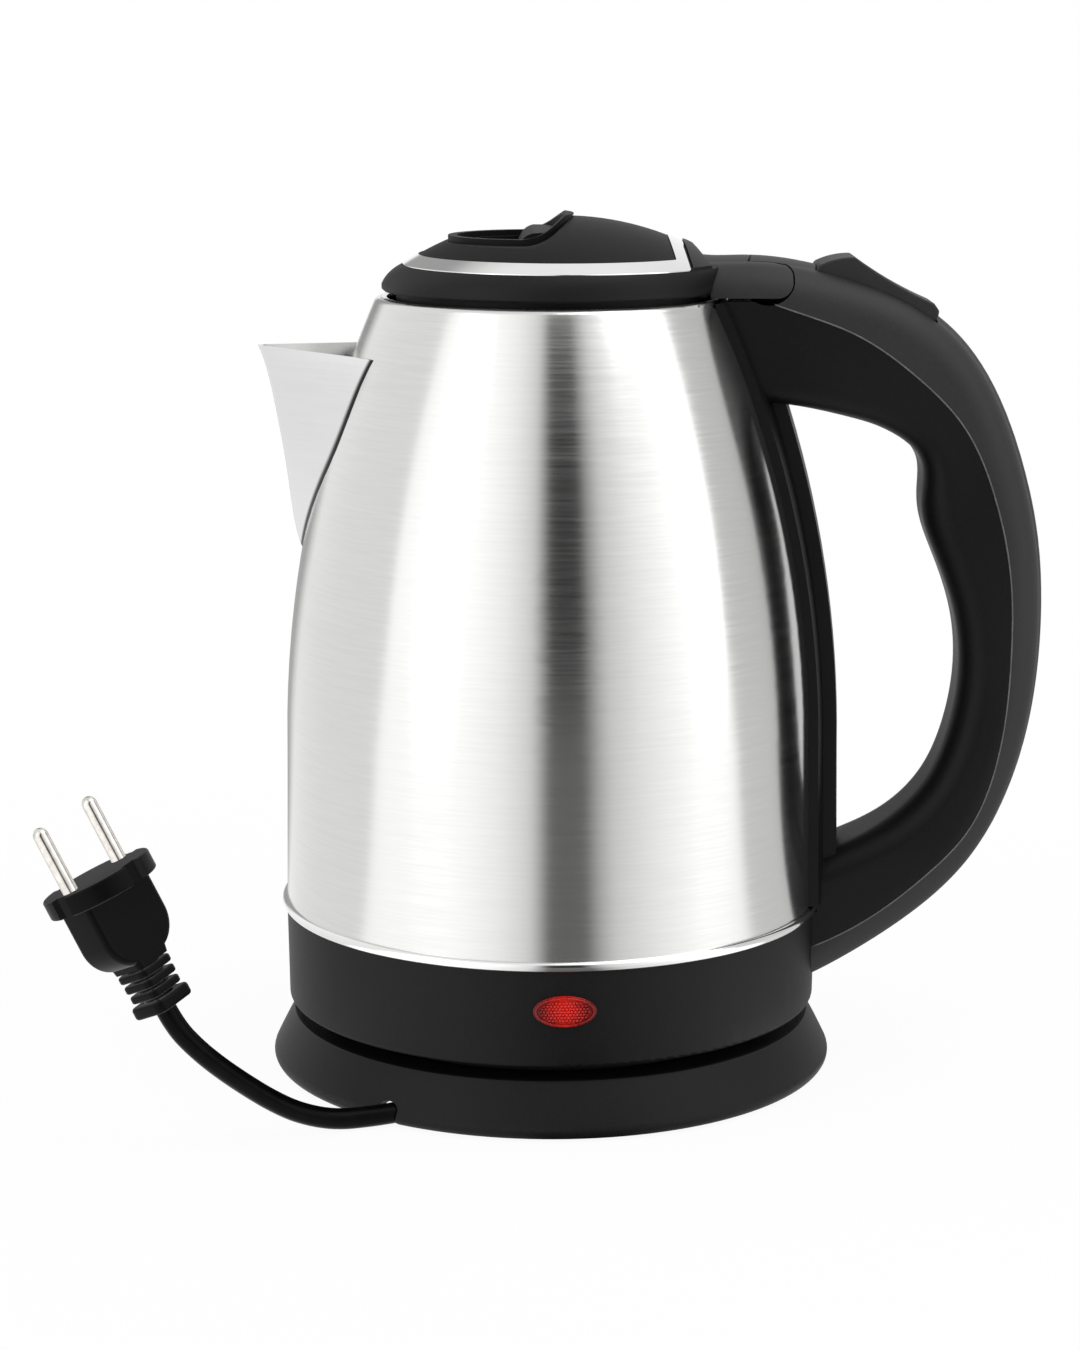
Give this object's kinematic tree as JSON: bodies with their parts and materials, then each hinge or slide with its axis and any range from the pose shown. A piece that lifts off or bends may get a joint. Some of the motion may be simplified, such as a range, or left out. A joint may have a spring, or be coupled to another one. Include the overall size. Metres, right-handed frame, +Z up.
{
  "type": "electric kettle",
  "caption": "Cordless electric kettle: tapering brushed steel jug with a pointed spout, black loop handle, hinged domed lid and rocker switch, on a round power base with its cord and plug.",
  "frame": {"origin": "on the jug's axis, in the plane of the worktop that the base's feet stand on", "axes": "+Z up along the jug's axis, +X from the axis to the handle, -X to the spout, -Y to the side with the lamp"},
  "size_m": [0.2647, 0.1801, 0.2354],
  "materials": {
    "black_plastic": "matte with a fine moulded grain",
    "plug_plastic": "satin",
    "brushed_steel": "fine brushing round the jug",
    "chrome": "polished",
    "cord_rubber": "smooth sheath",
    "soft_rubber": "soft matte",
    "red_lens": "translucent pebbled red",
    "nickel": "polished nickel",
    "aluminium": "as cast",
    "inner_plastic": "moulded",
    "brass": "bright",
    "screw_steel": "zinc plated",
    "lamp_glass": "clear"
  },
  "bodies": {
    "base": {"base_shell": "black_plastic", "base_plate": "black_plastic", "base_socket": "inner_plastic", "socket_contacts": "brass", "base_feet": "soft_rubber", "base_screws": "screw_steel", "cord_gland": "soft_rubber", "power_cord_winding": "cord_rubber", "power_cord_lead": "cord_rubber", "plug_boot": "plug_plastic", "plug_body": "plug_plastic", "plug_pins": "nickel"},
    "turntable": {"socket_shutter": "inner_plastic"},
    "jug": {"steel_body": "brushed_steel", "spout": "brushed_steel", "bead_ring": "chrome", "kettle_floor": "brushed_steel", "heat_spreader": "aluminium", "heating_element": "aluminium", "coupler": "inner_plastic", "dry_boil_discs": "brass", "bottom_skirt": "black_plastic", "bottom_cover": "black_plastic", "cover_screws": "screw_steel", "indicator_lens": "red_lens", "indicator_lamp": "lamp_glass", "hinge_pin": "screw_steel", "steam_switch": "inner_plastic", "bimetal_disc": "brass", "handle_outer": "black_plastic", "handle_inner": "black_plastic"},
    "lid": {"lid_rim": "black_plastic", "lid_hinge_arm": "black_plastic", "chrome_ring": "chrome", "lid_dome": "black_plastic", "well_bezel": "black_plastic", "lid_underside": "black_plastic", "lid_screws": "screw_steel"},
    "rocker": {"switch_rocker": "black_plastic"}
  },
  "joints": [
    {"name": "jug_swivel", "type": "hinge", "parent": "base", "child": "turntable", "pos_m": [0, 0, 0.0145], "axis": [0, 0, 1], "continuous": true},
    {"name": "jug_lift", "type": "slide", "parent": "turntable", "child": "jug", "axis": [0, 0, 1], "range_m": [0, 0.1]},
    {"name": "lid_hinge", "type": "hinge", "parent": "jug", "child": "lid", "pos_m": [0.0575, 0, 0.219], "axis": [0, 1, 0], "range_deg": [0, 78]},
    {"name": "rocker_tilt", "type": "hinge", "parent": "jug", "child": "rocker", "pos_m": [0.087, 0, 0.2126], "axis": [0, 1, 0], "range_deg": [-7, 0]}
  ]
}
